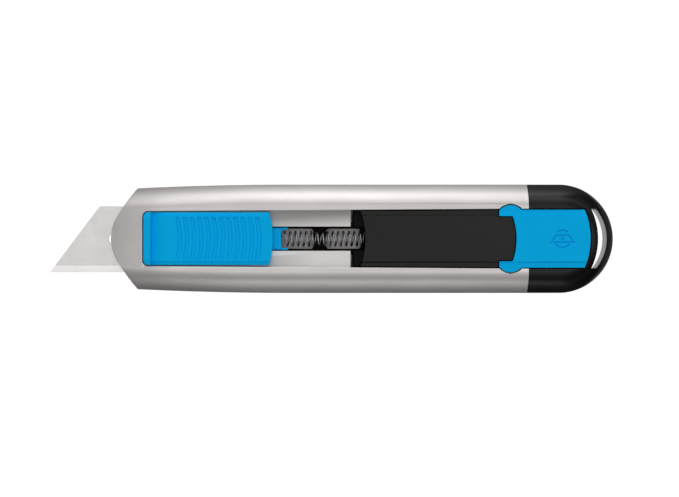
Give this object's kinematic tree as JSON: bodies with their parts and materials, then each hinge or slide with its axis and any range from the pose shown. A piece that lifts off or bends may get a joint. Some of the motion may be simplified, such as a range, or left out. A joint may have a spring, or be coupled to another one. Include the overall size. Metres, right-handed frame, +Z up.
{
  "type": "utility knife",
  "caption": "Handheld utility knife with a metal housing, a spring-return thumb slider that carries a trapezoid blade, and a rocking release key at its rounded rear cap.",
  "frame": {"origin": "middle of the bottom of the whole knife's box, blade included, with the knife lying on its flat back", "axes": "+X along the knife from the blade tip to the rounded cap, +Z up through the face with the thumb slider, cutting edge towards -Y"},
  "size_m": [0.162, 0.0312, 0.0184],
  "materials": {
    "satin_aluminium": "satin, fine blasted and clear anodised",
    "black_plastic": "matt moulded",
    "cover_plastic": "fine spark-eroded grain",
    "cap_plastic": "semi-gloss moulded",
    "blue_plastic": "satin moulded, bright blue",
    "blade_steel": "ground and lightly oiled",
    "clamp_steel": "stamped",
    "spring_steel": "bright drawn wire and strip",
    "pin_steel": "turned",
    "screw_steel": "zinc plated"
  },
  "bodies": {
    "handle": {"housing_shell": "satin_aluminium", "guide_rail_upper": "black_plastic", "guide_rail_lower": "black_plastic", "insert_chassis": "black_plastic", "insert_cover": "cover_plastic", "spring_rear_pin": "pin_steel", "return_spring": "spring_steel", "key_pivot_pin": "pin_steel", "key_leaf_spring": "spring_steel", "end_cap": "cap_plastic", "lanyard_bar": "cap_plastic", "cap_screw_front": "screw_steel", "cap_screw_rear": "screw_steel"},
    "slider": {"thumb_slider": "blue_plastic", "slider_core": "blue_plastic", "blade_carrier": "black_plastic", "blade_clamp": "clamp_steel", "clamp_hinge_pin": "pin_steel", "blade_pin_front": "pin_steel", "blade_pin_rear": "pin_steel", "trapezoid_blade": "blade_steel", "spring_front_pin": "pin_steel"},
    "key": {"release_key": "blue_plastic"}
  },
  "joints": [
    {"name": "slider_slide", "type": "slide", "parent": "handle", "child": "slider", "axis": [1, 0, 0], "range_m": [0, 0.025], "stiffness_N_per_m": 120, "springref_m": 0.04, "deforming": ["return_spring"]},
    {"name": "key_rock", "type": "hinge", "parent": "handle", "child": "key", "pos_m": [0.0613, 0, 0.0149], "axis": [0, 1, 0], "range_deg": [0, 12], "stiffness_Nm_per_rad": 0.3, "springref_deg": -5.73, "deforming": ["key_leaf_spring"]}
  ]
}
